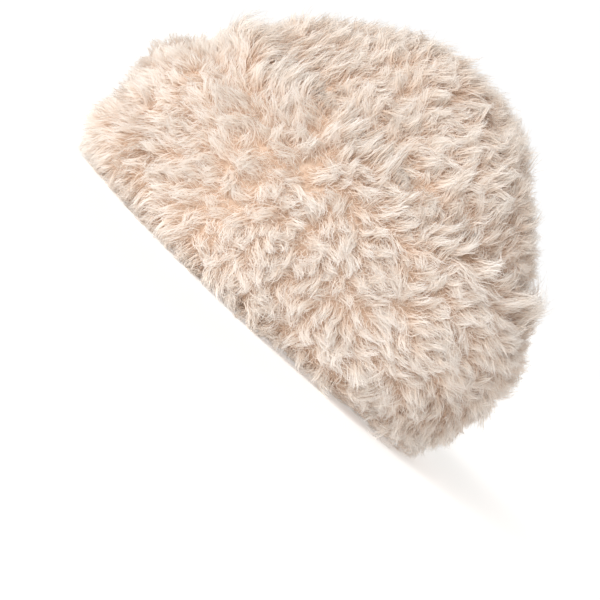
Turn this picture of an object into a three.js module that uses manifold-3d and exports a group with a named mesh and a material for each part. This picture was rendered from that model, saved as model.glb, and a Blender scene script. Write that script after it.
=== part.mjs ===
// A slouchy beanie of deep-pile faux fur, resting on its rim as it would on a table.
// Two pieces of fur cloth: a wide, puffed-out band round the head, and a domed crown sewn inside
// the band's top edge. Each is a hollow wall of knitted backing and dense underfur, with the pile
// standing out of it in overlapping locks. Millimetres, +Z up, the wearer faces -Y, and the origin
// is the middle of the hat's outline on the surface that it rests on.
import * as THREE from "three";
import Module from "manifold-3d";

const wasm = await Module();
wasm.setup();

// The band's outline, over the tips of its fur
const BAND_LENGTH = 350;
const BAND_WIDTH = 294;

// The seam that joins the crown to the band, measured to the valley between their fur
const SEAM_HEIGHT = 131;
const SEAM_LENGTH = 250;
const SEAM_WIDTH = 226;

// The crown's outline over its fur, its rise above the seam, and how far it sits back from the
// middle. Across the hat the dome is fuller than along it: its reach is raised to this power.
const CROWN_LENGTH = 266;
const CROWN_WIDTH = 240;
const CROWN_RISE = 94;
const CROWN_BACK = 4;
const CROWN_FULLNESS = 0.78;

// The opening for the head, which sits back from the middle because the fur overhangs the brow
const OPENING_LENGTH = 236;
const OPENING_WIDTH = 150;
const OPENING_BACK = 21;

// The cloth: knitted backing, the dense underfur on it, and how far the locks' tips stand out
const BACKING = 2.5;
const UNDERFUR = 13;
const LOCK_LIFT = 5;

// One lock of fur
const LOCK_LENGTH = 39;
const LOCK_WIDTH = 26;
const LOCK_DEPTH = 2.5;

// How far apart the locks' roots are, round the hat and up it
const LOCK_SPACING = 36;
const LOCK_ROW_SPACING = 28;

// How far the crown's fur may stand out by the band's, and what their faces keep apart
const CROWN_ROOM = 6;
const SEAM_GAP = 0.4;

// Facets round the hat, and steps up each face of a wall
const AROUND = 40;
const OUTER_STEPS = { band: 11, crown: 7 };
const INNER_STEPS = { band: 5, crown: 3 };

// The band's section. Below the widest line, reach runs from the opening's edge (0) to the widest
// line (1), and above it from the seam (0) to the widest line (1). Height is a share of
// SEAM_HEIGHT, and pile a share of UNDERFUR, pressed thin under the rim and at the seam.
const BAND_SECTION = [
  { name: "rim_edge", reach: 0.0, height: 0.0, pile: 0.5 },
  { name: "rim_flat", reach: 0.4, height: 0.0, pile: 0.6 },
  { name: "underside", reach: 0.72, height: 0.014, pile: 0.75 },
  { name: "lower_roll", reach: 0.9, height: 0.09, pile: 1 },
  { name: "low_side", reach: 0.98, height: 0.23, pile: 1 },
  { name: "widest", reach: 1.0, height: 0.42, pile: 1 },
  { name: "high_side", reach: 0.98, height: 0.63, pile: 1 },
  { name: "shoulder", reach: 0.82, height: 0.8, pile: 1 },
  { name: "upper_shoulder", reach: 0.53, height: 0.93, pile: 1 },
  { name: "ridge", reach: 0.25, height: 1.02, pile: 0.8 },
  { name: "seam", reach: 0.0, height: 1.0, pile: 0.4 },
];
const WIDEST_ROW = BAND_SECTION.findIndex((row) => row.name === "widest");

// The crown's section. Reach runs from the middle (0) to the crown's outline (1), apart from its
// foot, which is on the seam. Height is a share of CROWN_RISE.
const CROWN_SECTION = [
  { name: "foot", reach: 0.96, height: 0.0, pile: 0.4 },
  { name: "swell", reach: 1.0, height: 0.09, pile: 0.8 },
  { name: "low_side", reach: 0.945, height: 0.24, pile: 1 },
  { name: "side", reach: 0.815, height: 0.44, pile: 1 },
  { name: "upper_side", reach: 0.67, height: 0.63, pile: 1 },
  { name: "brow", reach: 0.51, height: 0.8, pile: 1 },
  { name: "cap", reach: 0.3, height: 0.955, pile: 1 },
  { name: "top", reach: 0.0, height: 1.0, pile: 1 },
];

// Folds and swells of the soft cloth. Turn is degrees from the front round by the wearer's left,
// up a share of the section's run, wide in degrees, tall a share of the run, and out a share of
// UNDERFUR, inward where it is negative.
const BAND_FOLDS = [
  { name: "brow_crease", turn: -8, up: 0.47, wide: 62, tall: 0.045, out: -0.45 },
  { name: "brow_roll", turn: 0, up: 0.36, wide: 60, tall: 0.1, out: 0.2 },
  { name: "brow_slope", turn: 0, up: 0.76, wide: 44, tall: 0.07, out: -0.5 },
  { name: "left_swell", turn: 62, up: 0.6, wide: 26, tall: 0.16, out: 0.26 },
  { name: "left_hollow", turn: 96, up: 0.58, wide: 13, tall: 0.2, out: -0.36 },
  { name: "back_left_swell", turn: 132, up: 0.62, wide: 28, tall: 0.15, out: 0.24 },
  { name: "nape_tuck", turn: 182, up: 0.25, wide: 50, tall: 0.085, out: -1.05 },
  { name: "back_right_swell", turn: 214, up: 0.56, wide: 28, tall: 0.16, out: 0.26 },
  { name: "right_hollow", turn: 251, up: 0.6, wide: 14, tall: 0.18, out: -0.34 },
  { name: "right_swell", turn: 292, up: 0.58, wide: 26, tall: 0.16, out: 0.24 },
];
const CROWN_FOLDS = [
  { name: "front_swell", turn: 18, up: 0.34, wide: 34, tall: 0.16, out: 0.3 },
  { name: "left_dip", turn: 70, up: 0.46, wide: 16, tall: 0.24, out: -0.4 },
  { name: "left_swell", turn: 118, up: 0.4, wide: 30, tall: 0.2, out: 0.34 },
  { name: "back_dip", turn: 168, up: 0.5, wide: 18, tall: 0.2, out: -0.34 },
  { name: "right_swell", turn: 226, up: 0.4, wide: 34, tall: 0.2, out: 0.3 },
  { name: "right_dip", turn: 286, up: 0.44, wide: 16, tall: 0.22, out: -0.36 },
];

// How the fur is combed. Up is a share of the section's run, fall how much a lock points down the
// section, and drift how much it points round the hat, away from the parting on its side.
const BAND_COMBING = [
  { up: 0.24, fall: 1.0, drift: 0.1 },
  { up: 0.45, fall: 0.95, drift: 0.45 },
  { up: 0.62, fall: 0.6, drift: 0.8 },
  { up: 0.76, fall: -0.5, drift: 0.6 },
  { up: 0.86, fall: -1.0, drift: 0.2 },
];
const CROWN_COMBING = [
  { up: 0.0, fall: -1.0, drift: 0.2 },
  { up: 0.4, fall: -0.85, drift: 0.6 },
  { up: 1.0, fall: -0.7, drift: 0.7 },
];

// The parting is this many degrees from the front, on both sides
const PARTING = 68;

// Where the locks' roots begin and end, as shares of the section's run
const BAND_LOCK_RUN = { first: 0.3, last: 0.86 };
const CROWN_LOCK_RUN = { first: 0.14, last: 0.93 };

// A lock is a leaf with a point at each end. It is widest at this share of its length, and its
// root, edges, ridge and tip stand out of the underfur by these shares of LOCK_LIFT.
const LOCK_WIDEST = 0.56;
const LOCK_HEIGHTS = { root: -0.4, edge: -0.1, ridge: 1.0, tip: 0.9 };

// How unevenly the locks are strewn: their turn, their size and their place
const LOCK_SWING = 0.55;
const LOCK_SIZE_SPREAD = 0.3;
const LOCK_PLACE_SPREAD = 0.36;

// A number from -1 to 1 that is always the same for the same lock
function unevenness(row, place, kind) {
  const wave = Math.sin(row * 12.9898 + place * 78.233 + kind * 37.719) * 43758.5453;
  return 2 * (wave - Math.floor(wave)) - 1;
}

// A smooth curve through a table's column, at a share of the table's run
function along(table, column, share) {
  const last = table.length - 1;
  const at = THREE.MathUtils.clamp(share, 0, 1) * last;
  const row = Math.min(Math.floor(at), last - 1);
  const value = (index) => table[THREE.MathUtils.clamp(index, 0, last)][column];
  const [before, from, to, after] = [row - 1, row, row + 1, row + 2].map(value);
  const t = at - row;
  const rise = (to - before) / 2;
  const settle = (after - from) / 2;
  return (
    (2 * t ** 3 - 3 * t ** 2 + 1) * from +
    (t ** 3 - 2 * t ** 2 + t) * rise +
    (-2 * t ** 3 + 3 * t ** 2) * to +
    (t ** 3 - t ** 2) * settle
  );
}

// A point on an oval seen from above. Turn 0 is the front, and a quarter turn the wearer's left.
function oval(length, width, back, turn) {
  return new THREE.Vector2((width / 2) * Math.sin(turn), back - (length / 2) * Math.cos(turn));
}

const openingEdge = (turn) => oval(OPENING_LENGTH, OPENING_WIDTH, OPENING_BACK, turn);
const widestLine = (turn) => oval(BAND_LENGTH - 2 * LOCK_LIFT, BAND_WIDTH - 2 * LOCK_LIFT, 0, turn);
const seamLine = (turn) => oval(SEAM_LENGTH, SEAM_WIDTH, CROWN_BACK, turn);
const crownLine = (turn) =>
  oval(CROWN_LENGTH - 2 * LOCK_LIFT, CROWN_WIDTH - 2 * LOCK_LIFT, CROWN_BACK, turn);

// How far the cloth's folds move it out, in millimetres
function foldedOut(folds, turn, share) {
  let out = 0;
  for (const fold of folds) {
    const round = THREE.MathUtils.degToRad(fold.turn) - turn;
    const off = Math.atan2(Math.sin(round), Math.cos(round)) / THREE.MathUtils.degToRad(fold.wide);
    const rise = (share - fold.up) / fold.tall;
    out += fold.out * UNDERFUR * Math.exp(-(off * off + rise * rise) / 2);
  }
  return out;
}

// A point on the band's underfur before it is folded. Share runs from the opening to the seam.
function bandPoint(turn, share) {
  const widest = WIDEST_ROW / (BAND_SECTION.length - 1);
  const inner = share <= widest ? openingEdge(turn) : seamLine(turn);
  const place = inner.lerp(widestLine(turn), along(BAND_SECTION, "reach", share));
  return new THREE.Vector3(place.x, place.y, SEAM_HEIGHT * along(BAND_SECTION, "height", share));
}

// A point on the crown's underfur before it is folded. Share runs from the seam to the top.
function crownPoint(turn, share) {
  const footShare = 1 / (CROWN_SECTION.length - 1);
  const reach = along(CROWN_SECTION, "reach", share);
  const middle = new THREE.Vector2(0, CROWN_BACK);
  const place = middle.clone().lerp(crownLine(turn), reach);
  place.x = crownLine(turn).x * Math.max(reach, 0) ** CROWN_FULLNESS;
  if (share < footShare) {
    const swell = middle.lerp(crownLine(turn), along(CROWN_SECTION, "reach", footShare));
    place.copy(seamLine(turn)).lerp(swell, share / footShare);
  }
  const height = along(CROWN_SECTION, "height", share) * (CROWN_RISE - LOCK_LIFT);
  return new THREE.Vector3(place.x, place.y, SEAM_HEIGHT + height);
}

const BAND = {
  name: "band",
  section: BAND_SECTION,
  folds: BAND_FOLDS,
  combing: BAND_COMBING,
  lockRun: BAND_LOCK_RUN,
  point: bandPoint,
};
const CROWN = {
  name: "crown",
  section: CROWN_SECTION,
  folds: CROWN_FOLDS,
  combing: CROWN_COMBING,
  lockRun: CROWN_LOCK_RUN,
  point: crownPoint,
};

// The two directions along a piece's underfur at a place, per unit of turn and of share, and the
// direction out of it
function directions(piece, turn, share) {
  const step = 0.004;
  const low = THREE.MathUtils.clamp(share, step, 1 - step) - step;
  const round = piece.point(turn + step, low + step).sub(piece.point(turn - step, low + step));
  const rise = piece.point(turn, low + 2 * step).sub(piece.point(turn, low));
  round.divideScalar(2 * step);
  rise.divideScalar(2 * step);
  return { round, rise, out: round.clone().cross(rise).normalize() };
}

// A point on a piece's underfur, moved in or out from the folded surface by some millimetres
function furPoint(piece, turn, share, out) {
  const fade = Math.min(1, share * 8, piece === BAND ? (1 - share) * 8 : 1);
  const lift = out + fade * foldedOut(piece.folds, turn, share);
  return piece.point(turn, share).addScaledVector(directions(piece, turn, share).out, lift);
}

// A point on the inner face of a piece's cloth. At the seam the wall's end is level, and at the
// rim it is upright, so that the pieces meet face to face and the hat rests flat.
function backingPoint(piece, turn, share) {
  const thick = BACKING + UNDERFUR * along(piece.section, "pile", share);
  const place = piece.point(turn, share);
  if (piece === BAND && share === 0) return place.setZ(thick);
  const atSeam = share === (piece === BAND ? 1 : 0);
  if (!atSeam) return furPoint(piece, turn, share, -thick);
  const inward = new THREE.Vector3(0, CROWN_BACK, place.z).sub(place).normalize();
  return place.addScaledVector(inward, thick);
}

// A closed solid from its corners and triangles
function solidOf(corners, triangles) {
  const vertProperties = new Float32Array(corners.flatMap((corner) => corner.toArray()));
  return new wasm.Manifold(
    new wasm.Mesh({ numProp: 3, vertProperties, triVerts: new Uint32Array(triangles) }),
  );
}

// The two triangles of a four-sided facet
const facet = (a, b, c, d) => [a, b, c, a, c, d];

// A piece's hollow wall: rings of corners up its outer face and down its inner one. The band's
// rings close on themselves, and the crown's end in a point at the top of each face.
function wall(piece) {
  const outerSteps = OUTER_STEPS[piece.name];
  const innerSteps = INNER_STEPS[piece.name];
  const domed = piece === CROWN;
  const rings = [];
  for (let step = 0; step <= outerSteps; step += 1) {
    rings.push((turn) => furPoint(piece, turn, step / outerSteps, 0));
  }
  for (let step = innerSteps; step >= 0; step -= 1) {
    rings.push((turn) => backingPoint(piece, turn, step / innerSteps));
  }
  const isPoint = (ring) => domed && (ring === outerSteps || ring === outerSteps + 1);
  const starts = [];
  const corners = [];
  rings.forEach((cornerAt, ring) => {
    starts.push(corners.length);
    for (let place = 0; place < (isPoint(ring) ? 1 : AROUND); place += 1) {
      corners.push(cornerAt((place / AROUND) * 2 * Math.PI));
    }
  });
  const corner = (ring, place) => starts[ring] + (isPoint(ring) ? 0 : place % AROUND);
  const triangles = [];
  rings.forEach((_, ring) => {
    const next = (ring + 1) % rings.length;
    if (isPoint(ring) && isPoint(next)) return;
    for (let place = 0; place < AROUND; place += 1) {
      const [a, b] = [corner(ring, place), corner(ring, place + 1)];
      const [c, d] = [corner(next, place + 1), corner(next, place)];
      if (a === b) triangles.push(a, c, d);
      else if (c === d) triangles.push(a, b, c);
      else triangles.push(...facet(a, b, c, d));
    }
  });
  return solidOf(corners, triangles);
}

// One lock of fur, which follows the cloth from its root to its tip. Its underside is sunk in the
// underfur, and its tip is free.
function lock(piece, turn, share, fall, drift, size) {
  const { round, rise } = directions(piece, turn, share);
  const parted = THREE.MathUtils.degToRad(PARTING);
  const side = Math.sign(Math.sin(turn)) * Math.sign(Math.cos(parted) - Math.cos(turn));
  const heading = rise
    .clone()
    .normalize()
    .multiplyScalar(-fall)
    .addScaledVector(round.clone().normalize(), side * drift)
    .normalize();
  const turnPerMm = heading.dot(round) / round.lengthSq();
  const sharePerMm = heading.dot(rise) / rise.lengthSq();
  const place = (reach) => [
    turn + turnPerMm * reach,
    THREE.MathUtils.clamp(share + sharePerMm * reach, 0, 0.995),
  ];
  const length = LOCK_LENGTH * size;
  const middle = place(LOCK_WIDEST * length);
  const across = directions(piece, ...middle).out.cross(heading).normalize();
  const half = (LOCK_WIDTH / 2) * size;
  const edge = furPoint(piece, ...middle, LOCK_HEIGHTS.edge * LOCK_LIFT);
  const corners = [
    furPoint(piece, ...place(0), LOCK_HEIGHTS.root * LOCK_LIFT),
    edge.clone().addScaledVector(across, -half),
    furPoint(piece, ...middle, -LOCK_DEPTH),
    edge.clone().addScaledVector(across, half),
    furPoint(piece, ...middle, LOCK_HEIGHTS.ridge * LOCK_LIFT),
    furPoint(piece, ...place(length), LOCK_HEIGHTS.tip * LOCK_LIFT),
  ];
  const triangles = [];
  for (let corner = 0; corner < 4; corner += 1) {
    const [from, to] = [1 + corner, 1 + ((corner + 1) % 4)];
    triangles.push(0, to, from, 5, from, to);
  }
  const made = solidOf(corners, triangles);
  return made.volume() > 0 ? made : solidOf(corners, triangles.reverse());
}

// Every lock of a piece, in staggered rows from the bottom to the top
function locks(piece) {
  const { first, last } = piece.lockRun;
  let run = 0;
  const samples = 40;
  for (let step = 0; step < samples; step += 1) {
    const [from, to] = [step, step + 1].map((s) => first + ((last - first) * s) / samples);
    run += piece.point(Math.PI / 2, from).distanceTo(piece.point(Math.PI / 2, to));
  }
  const rows = Math.max(2, Math.round(run / LOCK_ROW_SPACING));
  const made = [];
  for (let row = 0; row <= rows; row += 1) {
    const share = first + ((last - first) * row) / rows;
    const girth = 2 * Math.PI * directions(piece, Math.PI / 4, share).round.length();
    const count = Math.max(3, Math.round(girth / LOCK_SPACING));
    for (let place = 0; place < count; place += 1) {
      const shift = LOCK_PLACE_SPREAD * unevenness(row, place, 1);
      const turn = ((place + (row % 2) / 2 + shift) / count) * 2 * Math.PI;
      const up = share + (LOCK_PLACE_SPREAD * unevenness(row, place, 2) * (last - first)) / rows / 2;
      const near = (up - piece.combing[0].up) / (piece.combing.at(-1).up - piece.combing[0].up);
      const swing = LOCK_SWING * unevenness(row, place, 3);
      const fall = along(piece.combing, "fall", near);
      const drift = along(piece.combing, "drift", near) * Math.min(1, Math.abs(2 * Math.sin(turn)));
      const size = 1 + LOCK_SIZE_SPREAD * unevenness(row, place, 4);
      made.push(lock(piece, turn, up, fall, drift + swing, size));
    }
  }
  return made;
}

// A named mesh of a solid, in its colour
function meshOf(name, solid, colour) {
  const { numProp, vertProperties, triVerts } = solid.getMesh();
  const geometry = new THREE.BufferGeometry();
  geometry.setAttribute("position", new THREE.BufferAttribute(vertProperties, numProp));
  geometry.setIndex(new THREE.BufferAttribute(triVerts, 1));
  geometry.computeVertexNormals();
  const material = new THREE.MeshStandardMaterial({ color: colour, roughness: 0.95, metalness: 0 });
  const mesh = new THREE.Mesh(geometry, material);
  mesh.name = name;
  return mesh;
}

// The largest shell of a solid, without specks and the closed pockets under locks' tips
function wholeOf(solid) {
  return solid.decompose().reduce((most, shell) => (shell.volume() > most.volume() ? shell : most));
}

// A piece with its locks fused to its wall, flattened where it rests on the surface
function furPiece(piece) {
  return wasm.Manifold.union([wall(piece), ...locks(piece)]).trimByPlane([0, 0, 1], 0);
}

// The room that the crown takes with its fur, grown by some millimetres
function crownRoom(grown) {
  const steps = OUTER_STEPS.crown;
  const cornerAt = (turn, step) => {
    const place = furPoint(CROWN, turn, step / steps, grown + (step === 0 ? 0 : CROWN_ROOM));
    return step === 0 ? place.setZ(SEAM_HEIGHT) : place;
  };
  const corners = [new THREE.Vector3(0, CROWN_BACK, SEAM_HEIGHT), cornerAt(0, steps)];
  const triangles = [];
  for (let place = 0; place < AROUND; place += 1) {
    const [from, to] = [place, (place + 1) % AROUND].map((at) => 2 + at * steps);
    for (let step = 0; step < steps; step += 1) {
      corners.push(cornerAt((place / AROUND) * 2 * Math.PI, step));
      if (step > 0) triangles.push(...facet(from + step - 1, to + step - 1, to + step, from + step));
    }
    triangles.push(0, to, from, from + steps - 1, to + steps - 1, 1);
  }
  return solidOf(corners, triangles);
}

const bandSolid = wholeOf(furPiece(BAND).subtract(crownRoom(SEAM_GAP)));
const crownSolid = wholeOf(
  furPiece(CROWN).intersect(crownRoom(0)).trimByPlane([0, 0, 1], SEAM_HEIGHT + SEAM_GAP),
);

// The locks' tips reach out unevenly, so the hat is moved to have its outline's middle over the
// origin
const outline = bandSolid.boundingBox();
const toMiddle = [0, 1].map((axis) => -(outline.min[axis] + outline.max[axis]) / 2);

const beanie = new THREE.Group();
beanie.add(meshOf("fur_band", bandSolid.translate([...toMiddle, 0]), "#e6cfbd"));
beanie.add(meshOf("fur_crown", crownSolid.translate([...toMiddle, 0]), "#dcc3b0"));

export default beanie;
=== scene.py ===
import math

import bmesh
import bpy
import numpy as np
from mathutils import Matrix, Vector


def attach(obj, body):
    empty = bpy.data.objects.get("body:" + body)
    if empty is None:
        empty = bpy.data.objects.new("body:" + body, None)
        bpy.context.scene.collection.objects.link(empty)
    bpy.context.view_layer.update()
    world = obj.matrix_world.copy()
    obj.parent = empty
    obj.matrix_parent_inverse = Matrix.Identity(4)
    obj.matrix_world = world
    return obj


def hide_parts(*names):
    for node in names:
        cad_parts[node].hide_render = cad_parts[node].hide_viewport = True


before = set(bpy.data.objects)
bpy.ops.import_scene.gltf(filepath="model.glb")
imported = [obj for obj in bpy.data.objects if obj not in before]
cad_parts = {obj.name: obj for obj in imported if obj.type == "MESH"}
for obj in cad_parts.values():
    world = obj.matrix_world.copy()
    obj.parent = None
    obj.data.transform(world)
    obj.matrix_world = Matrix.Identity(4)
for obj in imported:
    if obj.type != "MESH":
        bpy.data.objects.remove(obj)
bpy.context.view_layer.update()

# The cloth of the hat: knitted backing that carries a deep faux fur pile. The band is one wide strip
# of it, puffed out round the head from the rim to the seam, and the crown is a dome of it, sewn
# inside the band's top edge. Each is a sheet of points placed by its turn and its share up the piece.
MM = 0.001
BAND_LENGTH, BAND_WIDTH = 350 * MM, 294 * MM
SEAM_HEIGHT, SEAM_LENGTH, SEAM_WIDTH = 131 * MM, 250 * MM, 226 * MM
CROWN_LENGTH, CROWN_WIDTH, CROWN_RISE, CROWN_BACK = 266 * MM, 240 * MM, 94 * MM, 4 * MM
CROWN_FULLNESS = 0.78
OPENING_LENGTH, OPENING_WIDTH, OPENING_BACK = 236 * MM, 150 * MM, 21 * MM
BACKING, UNDERFUR, LOCK_LIFT = 2.5 * MM, 13 * MM, 5 * MM

# Reach runs from the opening, the seam or the crown's middle (0) to the widest line (1). Height is a
# share of the seam's height, or in the crown of its rise above the seam, and pile of the underfur.
BAND_ROWS = [
    {"name": "rim_edge", "reach": 0.0, "height": 0.0, "pile": 0.5},
    {"name": "rim_flat", "reach": 0.4, "height": 0.0, "pile": 0.6},
    {"name": "underside", "reach": 0.72, "height": 0.014, "pile": 0.75},
    {"name": "lower_roll", "reach": 0.9, "height": 0.09, "pile": 1.0},
    {"name": "low_side", "reach": 0.98, "height": 0.23, "pile": 1.0},
    {"name": "widest", "reach": 1.0, "height": 0.42, "pile": 1.0},
    {"name": "high_side", "reach": 0.98, "height": 0.63, "pile": 1.0},
    {"name": "shoulder", "reach": 0.82, "height": 0.8, "pile": 1.0},
    {"name": "upper_shoulder", "reach": 0.53, "height": 0.93, "pile": 1.0},
    {"name": "ridge", "reach": 0.25, "height": 1.02, "pile": 0.8},
    {"name": "seam", "reach": 0.0, "height": 1.0, "pile": 0.4},
]
CROWN_ROWS = [
    {"name": "foot", "reach": 0.96, "height": 0.0, "pile": 0.4},
    {"name": "swell", "reach": 1.0, "height": 0.09, "pile": 0.8},
    {"name": "low_side", "reach": 0.945, "height": 0.24, "pile": 1.0},
    {"name": "side", "reach": 0.815, "height": 0.44, "pile": 1.0},
    {"name": "upper_side", "reach": 0.67, "height": 0.63, "pile": 1.0},
    {"name": "brow", "reach": 0.51, "height": 0.8, "pile": 1.0},
    {"name": "cap", "reach": 0.3, "height": 0.955, "pile": 1.0},
    {"name": "top", "reach": 0.0, "height": 1.0, "pile": 1.0},
]
WIDEST_ROW = [row["name"] for row in BAND_ROWS].index("widest")

# Nothing is read nearer to a piece's edges than CHART_EDGE, and slopes are read over SLOPE_STEP to
# both sides. What fades out towards an edge or a line on a piece does so over one part in BLEND of
# it, or in SEAM_BLEND at the seam.
CHART_EDGE, SLOPE_STEP = 0.004, 0.006
BLEND, SEAM_BLEND = 8, 9

# Folds: turn and wide in degrees, up and tall as shares of the piece, out as a share of the underfur.
BAND_FOLDS = [
    {"turn": -8, "up": 0.47, "wide": 62, "tall": 0.045, "out": -0.45},
    {"turn": 0, "up": 0.36, "wide": 60, "tall": 0.1, "out": 0.2},
    {"turn": 0, "up": 0.76, "wide": 44, "tall": 0.07, "out": -0.5},
    {"turn": 62, "up": 0.6, "wide": 26, "tall": 0.16, "out": 0.26},
    {"turn": 96, "up": 0.58, "wide": 13, "tall": 0.2, "out": -0.36},
    {"turn": 132, "up": 0.62, "wide": 28, "tall": 0.15, "out": 0.24},
    {"turn": 182, "up": 0.25, "wide": 50, "tall": 0.085, "out": -1.05},
    {"turn": 214, "up": 0.56, "wide": 28, "tall": 0.16, "out": 0.26},
    {"turn": 251, "up": 0.6, "wide": 14, "tall": 0.18, "out": -0.34},
    {"turn": 292, "up": 0.58, "wide": 26, "tall": 0.16, "out": 0.24},
]
CROWN_FOLDS = [
    {"turn": 18, "up": 0.34, "wide": 34, "tall": 0.16, "out": 0.3},
    {"turn": 70, "up": 0.46, "wide": 16, "tall": 0.24, "out": -0.4},
    {"turn": 118, "up": 0.4, "wide": 30, "tall": 0.2, "out": 0.34},
    {"turn": 168, "up": 0.5, "wide": 18, "tall": 0.2, "out": -0.34},
    {"turn": 226, "up": 0.4, "wide": 34, "tall": 0.2, "out": 0.3},
    {"turn": 286, "up": 0.44, "wide": 16, "tall": 0.22, "out": -0.36},
]


def along(rows, column, share):
    """A smooth curve through one column of a table, at shares of its run."""
    values = np.array([row[column] for row in rows])
    last = len(values) - 1
    at = np.clip(share, 0, 1) * last
    row = np.minimum(at.astype(int), last - 1)
    t = at - row
    before, start, end, after = (values[np.clip(row + k, 0, last)] for k in (-1, 0, 1, 2))
    rise, settle = (end - before) / 2, (after - start) / 2
    return (
        (2 * t**3 - 3 * t**2 + 1) * start
        + (t**3 - 2 * t**2 + t) * rise
        + (-2 * t**3 + 3 * t**2) * end
        + (t**3 - t**2) * settle
    )


def oval(length, width, back, turn):
    """Points of an oval seen from above. Turn 0 is the front, a quarter turn the wearer's left."""
    return np.stack([width / 2 * np.sin(turn), back - length / 2 * np.cos(turn)], -1)


def folded_out(folds, turn, share):
    """How far the folds move the cloth out."""
    out = np.zeros(np.broadcast(turn, share).shape)
    for fold in folds:
        round_by = np.radians(fold["turn"]) - turn
        off = np.arctan2(np.sin(round_by), np.cos(round_by)) / np.radians(fold["wide"])
        out += fold["out"] * UNDERFUR * np.exp(-(off**2 + ((share - fold["up"]) / fold["tall"]) ** 2) / 2)
    return out


class Cloth:
    """A piece of the fur cloth, as a surface over two chart numbers."""

    def __init__(self, rows, folds, chart, place):
        self.rows, self.folds, self.chart, self.place = rows, folds, chart, place

    def lifted(self, first, second, lift):
        """Points that stand out of the smooth underfur by lift, with the folds."""
        turn, share = self.chart(first, second)
        held = np.clip(share, CHART_EDGE, 1 - CHART_EDGE)
        step = CHART_EDGE
        here = self.place(turn, held)
        rise = (self.place(turn, held + step) - self.place(turn, held - step)) / (2 * step)
        round_by = (self.place(turn + step, held) - self.place(turn - step, held)) / (2 * step)
        out = np.cross(round_by, rise)
        out /= np.maximum(np.linalg.norm(out, axis=-1, keepdims=True), 1e-9)
        edge = np.minimum(share, 1 - share) if self.chart is band_chart else share
        lift = lift + np.clip(edge * BLEND, 0, 1) * folded_out(self.folds, turn, share)
        return here + rise * (share - held)[..., None] + out * lift[..., None]

    def roots(self, first, second):
        """Points where the pile leaves the cloth, which come up to the surface at the seam."""
        return self.lifted(first, second, -self.depth(first, second))

    def depth(self, first, second):
        """How deep under the smooth underfur the pile is rooted."""
        turn, share = self.chart(first, second)
        from_seam = 1 - share if self.chart is band_chart else share
        return ROOT_DEPTH * along(self.rows, "pile", share) * np.clip(from_seam * SEAM_BLEND, 0, 1)

    def directions(self, first, second):
        """The surface's slopes along both chart numbers, and the way out of it."""
        slopes = [
            (self.roots(first + a, second + b) - self.roots(first - a, second - b)) / (2 * SLOPE_STEP)
            for a, b in ((SLOPE_STEP, 0), (0, SLOPE_STEP))
        ]
        out = np.cross(*slopes)
        return *slopes, out / np.maximum(np.linalg.norm(out, axis=-1, keepdims=True), 1e-9)


def band_chart(turn, share):
    """The band is charted by its turn and its share up from the rim."""
    return turn, share


def band_place(turn, share):
    """Points of the band's smooth underfur."""
    reach = along(BAND_ROWS, "reach", share)[..., None]
    below = (share <= WIDEST_ROW / (len(BAND_ROWS) - 1))[..., None]
    inner = np.where(
        below,
        oval(OPENING_LENGTH, OPENING_WIDTH, OPENING_BACK, turn),
        oval(SEAM_LENGTH, SEAM_WIDTH, CROWN_BACK, turn),
    )
    widest = oval(BAND_LENGTH - 2 * LOCK_LIFT, BAND_WIDTH - 2 * LOCK_LIFT, 0, turn)
    flat = inner + (widest - inner) * reach
    return np.concatenate([flat, SEAM_HEIGHT * along(BAND_ROWS, "height", share)[..., None]], -1)


def crown_chart(across, back):
    """The crown is charted as a disc, so that the fur runs on over its top."""
    return np.arctan2(across, -back), 1 - np.hypot(across, back)


def crown_place(turn, share):
    """Points of the crown's smooth underfur, which is fuller across the hat than along it."""
    foot = 1 / (len(CROWN_ROWS) - 1)
    middle = np.array([0, CROWN_BACK])
    edge = oval(CROWN_LENGTH - 2 * LOCK_LIFT, CROWN_WIDTH - 2 * LOCK_LIFT, CROWN_BACK, turn)
    reach = np.maximum(along(CROWN_ROWS, "reach", share), 0)
    flat = middle + (edge - middle) * np.stack([reach**CROWN_FULLNESS, reach], -1)
    seam = oval(SEAM_LENGTH, SEAM_WIDTH, CROWN_BACK, turn)
    flat = np.where((share < foot)[..., None], seam + (edge - seam) * (share / foot)[..., None], flat)
    height = SEAM_HEIGHT + along(CROWN_ROWS, "height", share) * (CROWN_RISE - LOCK_LIFT)
    return np.concatenate([flat, height[..., None]], -1)


BAND = Cloth(BAND_ROWS, BAND_FOLDS, band_chart, band_place)
CROWN = Cloth(CROWN_ROWS, CROWN_FOLDS, crown_chart, crown_place)


class Value:
    """A shader socket that Python's operators turn into Math nodes."""

    def __init__(self, finish, socket):
        self.finish, self.socket = finish, socket

    def joined(self, operation, first, second):
        """The value of a Math node on two values."""
        return self.finish.node("ShaderNodeMath", {"operation": operation}, {0: first, 1: second})

    def __add__(self, other):
        return self.joined("ADD", self, other)

    def __mul__(self, other):
        return self.joined("MULTIPLY", self, other)

    __radd__ = __add__
    __rmul__ = __mul__


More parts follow.
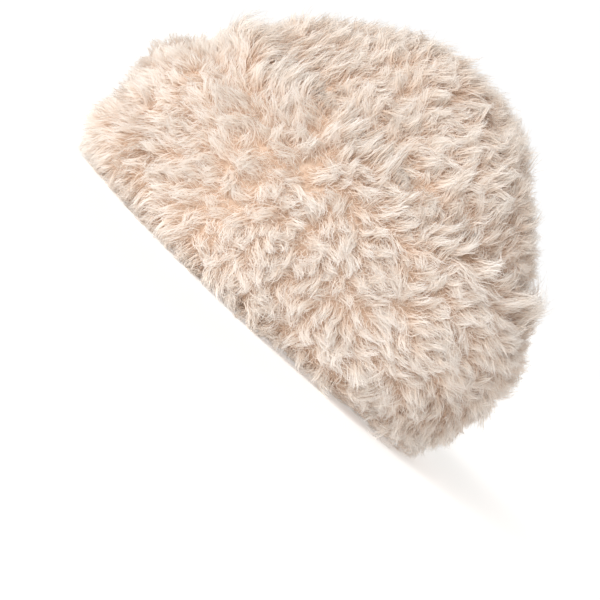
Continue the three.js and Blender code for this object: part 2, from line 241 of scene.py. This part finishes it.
class Finish:
    """A new material, with one method that adds its nodes."""

    def __init__(self, name):
        self.material = bpy.data.materials.new(name)
        self.material.use_nodes = True
        self.tree = self.material.node_tree
        self.tree.nodes.clear()

    def node(self, kind, settings=None, inputs=None, output=0):
        """Adds a node with its settings and its sockets' values or links, and returns an output."""
        node = self.tree.nodes.new(kind)
        for name, value in (settings or {}).items():
            if name == "stops":
                stops = node.color_ramp.elements
                while len(stops) < len(value):
                    stops.new(1)
                for stop, (position, colour) in zip(stops, value):
                    stop.position, stop.color = position, (*colour, 1)
            else:
                setattr(node, name, value)
        for name, value in (inputs or {}).items():
            if isinstance(value, Value):
                self.tree.links.new(value.socket, node.inputs[name])
            else:
                node.inputs[name].default_value = value
        return Value(self, node.outputs[output]) if node.outputs else None

    def mixed(self, factor, first, second):
        """Two colours mixed."""
        inputs = {0: factor, 6: first, 7: second}
        return self.node("ShaderNodeMix", {"data_type": "RGBA"}, inputs, output=2)

    def surfaced(self, inputs):
        """Ends the material in a Principled shader with these sockets, and returns it."""
        shader = self.node("ShaderNodeBsdfPrincipled", None, inputs)
        self.node("ShaderNodeOutputMaterial", None, {"Surface": shader})
        return self.material


def underfur_finish():
    """The short dense wool at the pile's roots, in soft clots, darkened as painted shade deep in the pile.
    """
    finish = Finish("underfur_wool")
    place = finish.node("ShaderNodeTexCoord", output="Object")
    clots = finish.node(
        "ShaderNodeTexNoise", {"noise_dimensions": "3D"}, {"Vector": place, "Scale": 320, "Detail": 6}
    )
    colour = finish.node(
        "ShaderNodeValToRGB",
        {"stops": [(0.3, UNDERFUR_SHADED_DEEP), (0.7, UNDERFUR_SHADED_PALE)]},
        {"Fac": clots},
    )
    bump = finish.node(
        "ShaderNodeBump", None, {"Height": clots, "Strength": 0.8, "Distance": 2 * MM}
    )
    return finish.surfaced({"Base Color": colour, "Roughness": 0.95, "Normal": bump})


def backing_finish():
    """The knitted back of the cloth, in columns of small stitches, as seen inside the hat."""
    finish = Finish("knitted_backing")
    knit = finish.node("ShaderNodeUVMap", {"uv_map": "knit"})
    columns = finish.node(
        "ShaderNodeTexWave",
        {"wave_type": "BANDS", "bands_direction": "X", "wave_profile": "SIN"},
        {"Vector": knit, "Scale": 16, "Distortion": 0.6, "Detail": 1},
    )
    stitches = finish.node(
        "ShaderNodeTexWave",
        {"wave_type": "BANDS", "bands_direction": "Y", "wave_profile": "SIN"},
        {"Vector": knit, "Scale": 11, "Distortion": 1.2, "Detail": 1},
    )
    height = columns * COLUMN_RELIEF + stitches * (1 - COLUMN_RELIEF)
    # The knit's colour darkens where its relief is low: painted shade in the grooves between the stitches.
    colour = finish.node(
        "ShaderNodeValToRGB", {"stops": [(0.2, BACKING_DEEP), (0.8, BACKING_PALE)]}, {"Fac": height}
    )
    bump = finish.node(
        "ShaderNodeBump", None, {"Height": height, "Strength": 0.7, "Distance": 0.5 * MM}
    )
    return finish.surfaced({"Base Color": colour, "Roughness": 0.9, "Normal": bump})


# How deep in the underfur the pile is rooted, the cloth's colours, how much of the knit's relief is
# its columns, how many facets each of the cloth's faces has, and how near its edge rows are to it
ROOT_DEPTH = 7.5 * MM
# The underfur's colours are darker than the wool's own tone: painted shade deep in the pile between the
# fibres.
UNDERFUR_SHADED_DEEP, UNDERFUR_SHADED_PALE = (0.56, 0.39, 0.28), (0.74, 0.57, 0.45)
BACKING_DEEP, BACKING_PALE = (0.50, 0.41, 0.33), (0.68, 0.58, 0.49)
COLUMN_RELIEF = 0.6
CLOTH_FACETS = {"around": 96, "up": 28}
EDGE_ROW = 0.001

cloth_finishes = [underfur_finish(), backing_finish()]


def inner_face(cloth, turn, share):
    """Points of the cloth's knitted back. At the rim the wall's end is upright, at the seam level."""
    thick = BACKING + UNDERFUR * along(cloth.rows, "pile", share)
    if cloth is CROWN:
        chart = (1 - share) * np.sin(turn), -(1 - share) * np.cos(turn)
    else:
        chart = turn, share
    face = cloth.lifted(*chart, -thick)
    rim = cloth.place(turn, np.clip(share, CHART_EDGE, 1 - CHART_EDGE))
    inward = rim * [-1, -1, 0]
    inward /= np.maximum(np.linalg.norm(inward, axis=-1, keepdims=True), 1e-9)
    at_seam = share > 1 - EDGE_ROW if cloth is BAND else share < EDGE_ROW
    face = np.where(at_seam[..., None], rim + inward * thick[..., None], face)
    if cloth is BAND:
        upright = np.concatenate([rim[..., :2], thick[..., None]], -1)
        face = np.where((share < EDGE_ROW)[..., None], upright, face)
    return face


def outer_face(cloth, turn, share):
    """Points under the pile."""
    if cloth is CROWN:
        return cloth.roots((1 - share) * np.sin(turn), -(1 - share) * np.cos(turn))
    return cloth.roots(turn, share)


def cloth_wall(name, cloth, node):
    """One piece's hollow wall, from two sheets joined at their open edges."""
    mesh = bmesh.new()
    mesh.loops.layers.uv.new("knit")
    for number, face_points in enumerate((outer_face, inner_face)):
        sheet = bmesh.ops.create_grid(
            mesh,
            x_segments=CLOTH_FACETS["around"],
            y_segments=CLOTH_FACETS["up"],
            size=0.5,
            calc_uvs=True,
        )["verts"]
        at = np.array([vertex.co for vertex in sheet]) + 0.5
        for vertex, place in zip(sheet, face_points(cloth, at[:, 0] * 2 * math.pi, at[:, 1])):
            vertex.co = place
        for face in {face for vertex in sheet for face in vertex.link_faces}:
            face.material_index = number
            face.smooth = True
    bmesh.ops.remove_doubles(mesh, verts=mesh.verts, dist=0.01 * MM)
    open_edges = [edge for edge in mesh.edges if edge.is_boundary]
    at_rim = [edge for edge in open_edges if edge.verts[0].co.z < SEAM_HEIGHT / 2]
    at_seam = [edge for edge in open_edges if edge.verts[0].co.z >= SEAM_HEIGHT / 2]
    for ends in (at_rim, at_seam):
        if ends:
            bmesh.ops.bridge_loops(mesh, edges=ends)
    bmesh.ops.recalc_face_normals(mesh, faces=mesh.faces)
    data = bpy.data.meshes.new(name)
    mesh.to_mesh(data)
    mesh.free()
    for finish in cloth_finishes:
        data.materials.append(finish)
    wall = bpy.data.objects.new(name, data)
    bpy.context.collection.objects.link(wall)
    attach(wall, "root")
    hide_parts(node)
    return wall


cloth_wall("band_cloth", BAND, "fur_band")
cloth_wall("crown_cloth", CROWN, "fur_crown")

# The pile: long soft fibres that cling together in wavy, pointed locks. Each fibre is a ribbon that
# narrows to a point at both ends and bends over along the way that its lock is combed.
rng = np.random.default_rng(11)

# Up is a share of the piece. Fall is how much the fur points down, drift how much it points away
# from the parting, root and tip its lean out of the cloth in degrees, long its length, cling how far
# its locks close up, and tint how much paler it is.
BAND_COMBING = [
    dict(zip(("up", "fall", "drift", "root", "tip", "long", "cling", "tint"), row))
    for row in (
        (0.0, 1.0, 0.1, 25, 0, 0.8, 0.6, 0),
        (0.1, 0.6, 0.1, 25, 0, 0.9, 0.6, 0),
        (0.16, -1, 0.1, 45, 10, 0.9, 0.6, 0.1),
        (0.22, -0.6, 0.3, 75, 45, 1.1, 0.6, 0.1),
        (0.27, 0.8, 0.2, 72, 40, 1.2, 0.7, 0.1),
        (0.35, 1.0, 0.2, 62, 26, 1.15, 0.7, 0.1),
        (0.45, 0.75, 0.7, 60, 20, 1.05, 0.8, 0.05),
        (0.6, 0.1, 1.0, 60, 20, 1.1, 0.85, 0.1),
        (0.74, -0.5, 0.8, 60, 24, 1.1, 0.8, 0.1),
        # The ridge's rows are paler by their tint: painted light on the tufts that the key light catches
        # at the top of the band.
        (0.86, -1.0, 0.25, 66, 52, 1.45, 0.75, 0.2),
        (1.0, -1.0, 0.0, 80, 70, 1.55, 0.7, 0.3),
    )
]
# The crown's negative tint is painted shade. Its fur is darker where the crown turns away from the key
# light, and darkest at its foot, in the shadow behind the band's ridge.
CROWN_COMBING = [
    {"up": 0.0, "root": 70, "tip": 40, "long": 0.7, "cling": 0.7, "tint": -0.5},
    {"up": 0.15, "root": 60, "tip": 22, "long": 0.9, "cling": 0.85, "tint": -0.4},
    {"up": 0.3, "root": 64, "tip": 28, "long": 1.1, "cling": 0.85, "tint": -0.2},
    {"up": 1.0, "root": 64, "tip": 30, "long": 1.15, "cling": 0.8, "tint": -0.15},
]

# The fur is parted at this turn on both sides, and at the middle of the front and back. It turns
# round more sharply there than at the partings. Where the combing is weak, locks point every way.
PARTING = math.radians(68)
PARTING_SHARPNESS, MIDDLE_SHARPNESS = 4, 6
WEAK_SPREAD = 0.9

# The crown's fur is combed up and back over the top. The fur over the brow is plush, and longer by
# ridge where it stands up at the seam.
CROWN_COMBED = np.array([0.0, 0.55, 1.0])
BROW = {
    "wide": math.radians(58),
    "fade": 0.16,
    "top": 0.85,
    "root": 72,
    "tip": 44,
    "long": 0.9,
    "cling": 0.35,
    "tint": 0.08,
    "ridge": 0.3,
    "ridge_foot": 0.76,
}

# Locks stand at least a gap apart, and reach into each other. None is rooted past CROWN_EDGE of the
# crown's disc. Tries for them are kept in line with their area, up to the area of the widest few.
LOCK_GAP = 6.5 * MM
LOCK_REACH = 5.6 * MM
CROWN_EDGE = 0.985
WIDE_AREA = 0.98

# A fibre's size, its places from root to tip and how wide it is there, and the number of tints
FIBRE_LENGTH = 19 * MM
FIBRE_WIDTH = 0.46 * MM
STATIONS = np.array([0, 0.26, 0.54, 0.79, 1])
STATION_WIDTHS = np.array([0, 1, 0.88, 0.6, 0])
TINTS = 24

# How unlike each other the locks are, and the fibres in a lock. Turns, bends and waves are in
# radians and fibres' leans in degrees. Sizes and locks' leans are shares of the usual ones.
LOCK_VARIETY = {"turn": 0.42, "long": 0.13, "lean": 0.11, "bend": 0.4, "cling": 0.1, "tint": 0.14}
FIBRE_VARIETY = {"lean": 6, "bend": 0.2, "phase": 0.4, "twist": 0.5, "tint": 0.2}
DRIFT = {"turn": 0.45, "long": 0.06, "lean": 0.1, "bend": 0.5, "tint": 0.1}
SHORT = {"share": 0.32, "long": 0.66, "reach": 1.4, "wave": 1.2, "darker": 0.3}
STRAY = {"share": 0.08, "lean": 7, "bend": 3, "wide": 0.6}
LOOSE_CLING = 0.2
RANGES = {
    "lock_long": (0.6, 1.35),
    "fibre_long": (0.78, 1.06),
    "lock_lean": (0.5, 1.4),
    "fibre_lean": (-20, 88),
    "lock_wave": (0.3, 0.95),
    "fibre_wave": (0.6, 1.4),
    "cling": (0.1, 0.92),
    "fibre_wide": (0.6, 1.3),
}

# The smooth changes over the hat are made of four waves of each of these lengths
WAVES_EACH = 4
TURN_WAVES = (90 * MM, 50 * MM, 30 * MM)
PUFF_WAVES = (45 * MM, 28 * MM)
BEND_WAVES = (34 * MM, 22 * MM)
TINT_WAVES = (80 * MM, 40 * MM)

# Fibres at a lock's edge are shorter and lower than those in its middle by these shares, and the
# lean and the closing up follow the way along a fibre raised to these powers
EDGE_SHORTER, EDGE_LOWER = 0.22, 0.25
LEAN_CURVE, CLING_CURVE = 0.8, 1.15


def drifting(points, seed, lengths):
    """A smooth uneven field over the hat, with a spread of 1."""
    waves = np.random.default_rng(seed)
    field = np.zeros(len(points))
    for length in lengths:
        for _ in range(WAVES_EACH):
            way = waves.normal(size=3)
            way *= 2 * math.pi / length / np.linalg.norm(way)
            field += np.sin(points @ way + waves.uniform(0, 2 * math.pi))
    return field / math.sqrt(WAVES_EACH * len(lengths) / 2)


def spread_locks(cloth, low, high, tries):
    """Chart numbers of lock roots, spread evenly over the cloth and no closer than LOCK_GAP."""
    first, second = (rng.uniform(a, b, tries) for a, b in zip(low, high))
    if cloth is CROWN:
        kept = np.hypot(first, second) < CROWN_EDGE
        first, second = first[kept], second[kept]
    slope_a, slope_b, _ = cloth.directions(first, second)
    area = np.linalg.norm(np.cross(slope_a, slope_b), axis=-1)
    kept = rng.uniform(0, np.quantile(area, WIDE_AREA), len(area)) < area
    first, second = first[kept], second[kept]
    cells, chosen = {}, []
    for number, point in enumerate(cloth.roots(first, second)):
        cell = tuple(np.floor(point / LOCK_GAP).astype(int))
        near = [
            other
            for x in (-1, 0, 1)
            for y in (-1, 0, 1)
            for z in (-1, 0, 1)
            for other in cells.get((cell[0] + x, cell[1] + y, cell[2] + z), ())
        ]
        if all(math.dist(point, other) > LOCK_GAP for other in near):
            cells.setdefault(cell, []).append(point)
            chosen.append(number)
    return first[chosen], second[chosen]


def charted(way, slope_a, slope_b):
    """How fast the chart numbers change along a way on the surface."""
    aa, ab, bb = ((p * q).sum(-1) for p, q in ((slope_a, slope_a), (slope_a, slope_b), (slope_b, slope_b)))
    wa, wb = (way * slope_a).sum(-1), (way * slope_b).sum(-1)
    whole = np.maximum(aa * bb - ab**2, 1e-16)
    return np.stack([(wa * bb - wb * ab) / whole, (wb * aa - wa * ab) / whole], -1)


def unit(vectors):
    """The same ways at a length of 1."""
    return vectors / np.maximum(np.linalg.norm(vectors, axis=-1, keepdims=True), 1e-12)


def combed(cloth, first, second, slope_a, slope_b, out):
    """Which way each lock lies on the cloth, and how it leans, how long it is and how it clings."""
    rows = BAND_COMBING if cloth is BAND else CROWN_COMBING
    turn, share = cloth.chart(first, second)
    lay = {
        name: np.interp(share, [row["up"] for row in rows], [row[name] for row in rows])
        for name in rows[0]
    }
    if cloth is CROWN:
        return unit(CROWN_COMBED - out * (out @ CROWN_COMBED)[:, None]), lay
    from_front = np.abs(np.arctan2(np.sin(turn), np.cos(turn)))
    front = 1 / (1 + np.exp((from_front - BROW["wide"]) / BROW["fade"]))
    brow = front * np.clip((BROW["top"] - share) * BLEND, 0, 1)
    for name in ("root", "tip", "long", "cling", "tint"):
        lay[name] = lay[name] + (BROW[name] - lay[name]) * brow
    lay["long"] += BROW["ridge"] * front * np.clip((share - BROW["ridge_foot"]) * BLEND, 0, 1)
    side = np.tanh(MIDDLE_SHARPNESS * np.sin(turn))
    side = side * np.tanh(PARTING_SHARPNESS * (math.cos(PARTING) - np.cos(turn)))
    way = -unit(slope_b) * lay["fall"][:, None] + unit(slope_a) * (side * lay["drift"])[:, None]
    weak = 1 - np.minimum(np.linalg.norm(way, axis=-1, keepdims=True), 1)
    loose = rng.normal(size=(2, len(first), 1))
    way += WEAK_SPREAD * weak * (unit(slope_b) * loose[0] + unit(slope_a) * loose[1])
    return unit(way), lay


def grown(cloth, first, second, fibres, width):
    """The fibres of these locks: their stations' points, the ways across them and their tints."""
    slope_a, slope_b, out = cloth.directions(first, second)
    at = cloth.roots(first, second)
    way, lay = combed(cloth, first, second, slope_a, slope_b, out)
    locks = len(first)
    turned = DRIFT["turn"] * drifting(at, 5, TURN_WAVES)
    turned = turned + rng.normal(0, LOCK_VARIETY["turn"], locks)
    way = way * np.cos(turned)[:, None] + np.cross(out, way) * np.sin(turned)[:, None]
    way_chart = charted(way, slope_a, slope_b)
    across_chart = charted(np.cross(out, way), slope_a, slope_b)

    # A fibre's root within its lock, and what kind of fibre it is
    far = np.sqrt(rng.uniform(0, 1, (locks, fibres)))
    spin = rng.uniform(0, 2 * math.pi, (locks, fibres))
    kind = rng.uniform(0, 1, (locks, fibres))
    short, stray = kind < SHORT["share"], kind > 1 - STRAY["share"]
    reach = LOCK_REACH * far * np.where(short, SHORT["reach"], 1)
    ahead, aside = reach * np.cos(spin), reach * np.sin(spin)
    puff = drifting(at, 8, PUFF_WAVES)
    uneven = 1 + DRIFT["long"] * puff + LOCK_VARIETY["long"] * rng.normal(size=locks)
    lock_long = lay["long"] * np.clip(uneven, *RANGES["lock_long"])
    size = lock_long[:, None] * rng.uniform(*RANGES["fibre_long"], (locks, fibres))
    length = FIBRE_LENGTH * size * np.where(short, SHORT["long"], 1) * (1 - EDGE_SHORTER * far**2)

    # The lean falls from root to tip, and the bend to one side and the wave are the lock's
    fall = (lay["tip"] - lay["root"])[:, None, None] * STATIONS**LEAN_CURVE
    lean = lay["root"][:, None, None] + fall
    uneven = 1 + DRIFT["lean"] * puff + LOCK_VARIETY["lean"] * rng.normal(size=locks)
    lean = lean * np.clip(uneven, *RANGES["lock_lean"])[:, None, None]
    own_lean = rng.normal(0, FIBRE_VARIETY["lean"], (locks, fibres)) + np.where(stray, STRAY["lean"], 0)
    lean = np.radians(np.clip(lean + own_lean[..., None], *RANGES["fibre_lean"]))
    bend = DRIFT["bend"] * drifting(at, 21, BEND_WAVES)
    bend = bend + rng.normal(0, LOCK_VARIETY["bend"], locks)
    own_bend = rng.normal(0, FIBRE_VARIETY["bend"], (locks, fibres)) * np.where(stray, STRAY["bend"], 1)
    bend = bend[:, None] + own_bend
    wave = rng.uniform(*RANGES["lock_wave"], locks)[:, None]
    wave = wave * rng.uniform(*RANGES["fibre_wave"], (locks, fibres))
    wave = np.where(short, SHORT["wave"], wave)
    phase = rng.uniform(0, 2 * math.pi, locks)[:, None]
    phase = phase + rng.normal(0, FIBRE_VARIETY["phase"], (locks, fibres))
    phase = np.where(short, rng.uniform(0, 2 * math.pi, (locks, fibres)), phase)
    veer = bend[..., None] * STATIONS
    veer = veer + wave[..., None] * np.sin(2 * math.pi * STATIONS + phase[..., None])
    step = np.diff(STATIONS, prepend=0) * length[..., None]
    forward = np.cumsum(np.cos(lean) * np.cos(veer) * step, -1)
    sideways = np.cumsum(np.cos(lean) * np.sin(veer) * step, -1)
    height = np.cumsum(np.sin(lean) * step, -1) * (1 - EDGE_LOWER * far**2)[..., None]

    # The fibres close up on the lock's middle towards its tip
    cling = lay["cling"] + rng.normal(0, LOCK_VARIETY["cling"], locks)
    cling = np.clip(cling, *RANGES["cling"])[:, None]
    loose = 1 - np.where(short | stray, LOOSE_CLING, cling)[..., None] * STATIONS**CLING_CURVE
    forward = forward + ahead[..., None] * loose
    sideways = sideways + aside[..., None] * loose

    chart = (
        np.stack([first, second], -1)[:, None, None]
        + way_chart[:, None, None] * forward[..., None]
        + across_chart[:, None, None] * sideways[..., None]
    )
    shape = chart.shape[:-1]
    one, two = chart[..., 0].ravel(), chart[..., 1].ravel()
    outward = cloth.directions(one, two)[2].reshape(*shape, 3)
    lifted = cloth.lifted(one, two, height.ravel() - cloth.depth(one, two))
    points = lifted.reshape(*shape, 3)

    tangent = unit(np.gradient(points, axis=-2))
    twist = rng.normal(0, FIBRE_VARIETY["twist"], (locks, fibres))[..., None, None]
    level = unit(np.cross(outward, tangent))
    across = level * np.cos(twist) + unit(np.cross(tangent, level)) * np.sin(twist)
    width = width * rng.uniform(*RANGES["fibre_wide"], (locks, fibres))
    width = width * np.where(stray, STRAY["wide"], 1)
    across = across * (width[..., None] * STATION_WIDTHS / 2)[..., None]

    tint = 0.5 + lay["tint"] + DRIFT["tint"] * drifting(at, 34, TINT_WAVES)
    tint = tint + LOCK_VARIETY["tint"] * rng.normal(size=locks)
    tint = tint[:, None] + FIBRE_VARIETY["tint"] * rng.normal(size=(locks, fibres))
    tint = (tint - np.where(short, SHORT["darker"], 0)) * TINTS
    tint = np.clip(tint.astype(int), 0, TINTS - 1)
    flat = (-1, len(STATIONS), 3)
    return points.reshape(flat), across.reshape(flat), tint.ravel()


def fur_finish():
    """The fibres, peach-tan at the root and pale cream at the tip, in warmer and paler tints."""
    finish = Finish("faux_fur_pile")
    place = finish.node("ShaderNodeUVMap", {"uv_map": "OFBake"})
    along_fibre = finish.node("ShaderNodeSeparateXYZ", None, {0: place}, output="X")
    tint = finish.node("ShaderNodeSeparateXYZ", None, {0: place}, output="Y")
    warm, pale = (
        finish.node("ShaderNodeValToRGB", {"stops": list(stops)}, {"Fac": along_fibre})
        for stops in (WARM_FIBRE, PALE_FIBRE)
    )
    colour = finish.mixed(tint, warm, pale)
    shader = finish.node(
        "ShaderNodeBsdfPrincipled",
        None,
        {"Base Color": colour, "Roughness": 0.4, "Specular IOR Level": 0.5},
    )
    through = finish.node("ShaderNodeBsdfTranslucent", None, {"Color": (*FIBRE_GLOW, 1)})
    both = finish.node("ShaderNodeMixShader", None, {0: LIT_THROUGH, 1: shader, 2: through})
    finish.node("ShaderNodeOutputMaterial", None, {"Surface": both})
    return finish.material


# Colours from root to tip of the warmest and the palest fibres. Their darker roots are partly the fur's
# own tone and partly painted shade deep in the pile.
WARM_FIBRE = (
    (0.0, (0.66, 0.43, 0.29)),
    (0.4, (0.83, 0.68, 0.56)),
    (0.7, (0.92, 0.84, 0.76)),
    (1.0, (0.94, 0.91, 0.87)),
)
PALE_FIBRE = (
    (0.0, (0.77, 0.55, 0.40)),
    (0.4, (0.91, 0.81, 0.72)),
    (0.7, (0.97, 0.94, 0.90)),
    (1.0, (0.99, 0.98, 0.97)),
)

# The colour and the share of the light that comes through a fibre
FIBRE_GLOW = (0.95, 0.90, 0.85)
LIT_THROUGH = 0.38
fur = fur_finish()

# A fibre's eight corners, by their stations from root to tip and their sides, and its four faces.
# The map gives each tint a band, and a fibre spans most of it.
CORNER_STATIONS = np.array([0, 1, 1, 2, 2, 3, 3, 4])
CORNER_SIDES = np.array([0, -1, 1, -1, 1, -1, 1, 0])
FIBRE_FACES = ((0, 2, 1), (1, 2, 4, 3), (3, 4, 6, 5), (5, 6, 7))
FIBRE_BAND = 0.84

# The lowest fibres lie on the floor, up to this high
FLOOR_LIFT = 0.9 * MM


def fur_piece(name, cloth, grown_fibres):
    """One joined mesh of fibres, which rides the root and, with the cloth it grows on, replaces the part
    it hides.
    """
    points, across, tints = grown_fibres
    count, of_each = len(points), len(CORNER_SIDES)
    corners = points[:, CORNER_STATIONS] + CORNER_SIDES[:, None] * across[:, CORNER_STATIONS]
    corners[..., 2] = np.maximum(corners[..., 2], rng.uniform(0, FLOOR_LIFT, (count, of_each)))

    order = np.concatenate(FIBRE_FACES)
    sizes = np.tile([len(face) for face in FIBRE_FACES], count)
    loops = (np.arange(count)[:, None] * of_each + order).ravel()
    data = bpy.data.meshes.new(name)
    data.vertices.add(count * of_each)
    data.vertices.foreach_set("co", corners.astype(np.float32).ravel())
    data.loops.add(len(loops))
    data.loops.foreach_set("vertex_index", loops.astype(np.int32))
    data.polygons.add(len(sizes))
    data.polygons.foreach_set("loop_start", (np.cumsum(sizes) - sizes).astype(np.int32))
    data.polygons.foreach_set("use_smooth", np.ones(len(sizes), bool))
    places = np.empty((count, len(order), 2))
    places[..., 0] = STATIONS[CORNER_STATIONS[order]]
    places[..., 1] = (tints[:, None] + 0.5 + FIBRE_BAND / 2 * CORNER_SIDES[order]) / TINTS
    data.uv_layers.new(name="OFBake").uv.foreach_set("vector", places.astype(np.float32).ravel())
    data.update(calc_edges=True)
    data.validate()
    data.materials.append(fur)
    piece = bpy.data.objects.new(name, data)
    bpy.context.collection.objects.link(piece)
    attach(piece, "root")
    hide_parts("fur_band" if cloth is BAND else "fur_crown")
    return piece


# How many fibres a lock has on the wearer's left, which the photograph shows, and on the right, where
# they are wider. The underside, up to this share of the band, has fewer and wider ones.
FIBRES = {"left": 57, "right": 40}
UNDERSIDE = {"up": 0.12, "fibres": 0.45, "wider": 0.4}
BAND_TRIES, CROWN_TRIES = 120000, 80000

band_first, band_second = spread_locks(BAND, (0, 0), (2 * math.pi, 1.0), BAND_TRIES)
crown_first, crown_second = spread_locks(CROWN, (-1, -1), (1, 1), CROWN_TRIES)

# The band's fur is in four pieces that meet at its front, sides and back
quarter = math.pi / 2
for number, name in enumerate(("front_left", "back_left", "back_right", "front_right")):
    parts = []
    fibres = FIBRES[name.split("_")[1]]
    width = FIBRE_WIDTH * math.sqrt(FIBRES["left"] / fibres)
    for under in (False, True):
        here = (band_first >= number * quarter) & (band_first < (number + 1) * quarter)
        here &= (band_second < UNDERSIDE["up"]) == under
        count = round(fibres * UNDERSIDE["fibres"]) if under else fibres
        wide = width * (1 + UNDERSIDE["wider"]) if under else width
        parts.append(grown(BAND, band_first[here], band_second[here], count, wide))
    joined = tuple(np.concatenate(arrays) for arrays in zip(*parts))
    fur_piece(f"band_fur_{name}", BAND, joined)

for name, here in (("left", crown_first >= 0), ("right", crown_first < 0)):
    width = FIBRE_WIDTH * math.sqrt(FIBRES["left"] / FIBRES[name])
    fibres = grown(CROWN, crown_first[here], crown_second[here], FIBRES[name], width)
    fur_piece(f"crown_fur_{name}", CROWN, fibres)

# The studio: a white floor that runs out of sight, a soft key light from in front of the brow and
# above, a weak one from behind, a white backdrop and softer light from everywhere else.
FLOOR_SIZE = 60
FLOOR_COLOUR, FLOOR_GLOW = (0.95, 0.95, 0.95, 1), 0.34
BACKDROP_WAY = (-0.956, 0.292, 0)
BACKDROP_FADE = (0.7, 0.9)
FILL_LIGHT = (0.425, 0.40, 0.375, 1)
BACKDROP_LIGHT = (1.02, 1.02, 1.02, 1)
floor_mesh = bmesh.new()
bmesh.ops.create_grid(floor_mesh, x_segments=1, y_segments=1, size=FLOOR_SIZE / 2)
floor_data = bpy.data.meshes.new("floor")
floor_mesh.to_mesh(floor_data)
floor_mesh.free()
floor_finish = Finish("pale_floor")
floor_data.materials.append(
    floor_finish.surfaced(
        {
            "Base Color": FLOOR_COLOUR,
            "Roughness": 0.9,
            "Emission Color": (1, 1, 1, 1),
            "Emission Strength": FLOOR_GLOW,
        }
    )
)
floor = bpy.data.objects.new("floor", floor_data)
bpy.context.collection.objects.link(floor)

world = bpy.data.worlds.new("studio")
world.use_nodes = True
sky = world.node_tree
background = sky.nodes["Background"]
direction = sky.nodes.new("ShaderNodeTexCoord")
towards = sky.nodes.new("ShaderNodeVectorMath")
towards.operation = "DOT_PRODUCT"
towards.inputs[1].default_value = BACKDROP_WAY
sky.links.new(direction.outputs["Generated"], towards.inputs[0])
share = sky.nodes.new("ShaderNodeMapRange")
share.inputs["From Min"].default_value, share.inputs["From Max"].default_value = BACKDROP_FADE
sky.links.new(towards.outputs["Value"], share.inputs["Value"])
light_colour = sky.nodes.new("ShaderNodeMix")
light_colour.data_type = "RGBA"
light_colour.inputs[6].default_value = FILL_LIGHT
light_colour.inputs[7].default_value = BACKDROP_LIGHT
sky.links.new(share.outputs["Result"], light_colour.inputs[0])
sky.links.new(light_colour.outputs[2], background.inputs["Color"])
bpy.context.scene.world = world

# Where each light comes from and how wide it is, in degrees, and its strength
LIGHTS = (("key", 44, 15, 50, 3.5), ("rear_fill", 240, 5, 45, 1.3))
for name, turn, height, wide, strength in LIGHTS:
    light_data = bpy.data.lights.new(name, "SUN")
    light_data.energy = strength
    light_data.angle = math.radians(wide)
    light = bpy.data.objects.new(name, light_data)
    bpy.context.collection.objects.link(light)
    turn, height = math.radians(turn), math.radians(height)
    light_from = Vector(
        (
            math.sin(turn) * math.cos(height),
            -math.cos(turn) * math.cos(height),
            math.sin(height),
        )
    )
    light.rotation_euler = light_from.to_track_quat("Z", "Y").to_euler()

# The camera looks at the wearer's left side, a little from the front, as in the photograph, and from
# just above the floor. It is rolled as the photograph is, where the rim runs down to the right.
SCALE = 0.69 * MM
PICTURE_WIDTH = 600
SENSOR_WIDTH = 36
VIEW_TURN, VIEW_HEIGHT = math.radians(73), math.radians(4)
ROLL = math.radians(43.8)
DISTANCE = 1.55
FAR_CLIP = 200
AIM_RIGHT, AIM_UP = 22.4 * MM, 27 * MM

backward = Vector(
    (
        math.sin(VIEW_TURN) * math.cos(VIEW_HEIGHT),
        -math.cos(VIEW_TURN) * math.cos(VIEW_HEIGHT),
        math.sin(VIEW_HEIGHT),
    )
)
right = Vector((math.cos(VIEW_TURN), math.sin(VIEW_TURN), 0))
up = backward.cross(right)
turned_right = right * math.cos(ROLL) + up * math.sin(ROLL)
turned_up = up * math.cos(ROLL) - right * math.sin(ROLL)
place = right * AIM_RIGHT + Vector((0, 0, AIM_UP)) + backward * DISTANCE
camera_data = bpy.data.cameras.new("camera")
camera_data.sensor_width = SENSOR_WIDTH
camera_data.lens = SENSOR_WIDTH * DISTANCE / (PICTURE_WIDTH * SCALE)
camera_data.clip_end = FAR_CLIP
camera = bpy.data.objects.new("camera", camera_data)
bpy.context.collection.objects.link(camera)
turned = Matrix((turned_right, turned_up, backward)).transposed().to_4x4()
camera.matrix_world = Matrix.Translation(place) @ turned
bpy.context.scene.camera = camera
bpy.context.scene.view_settings.view_transform = "Standard"
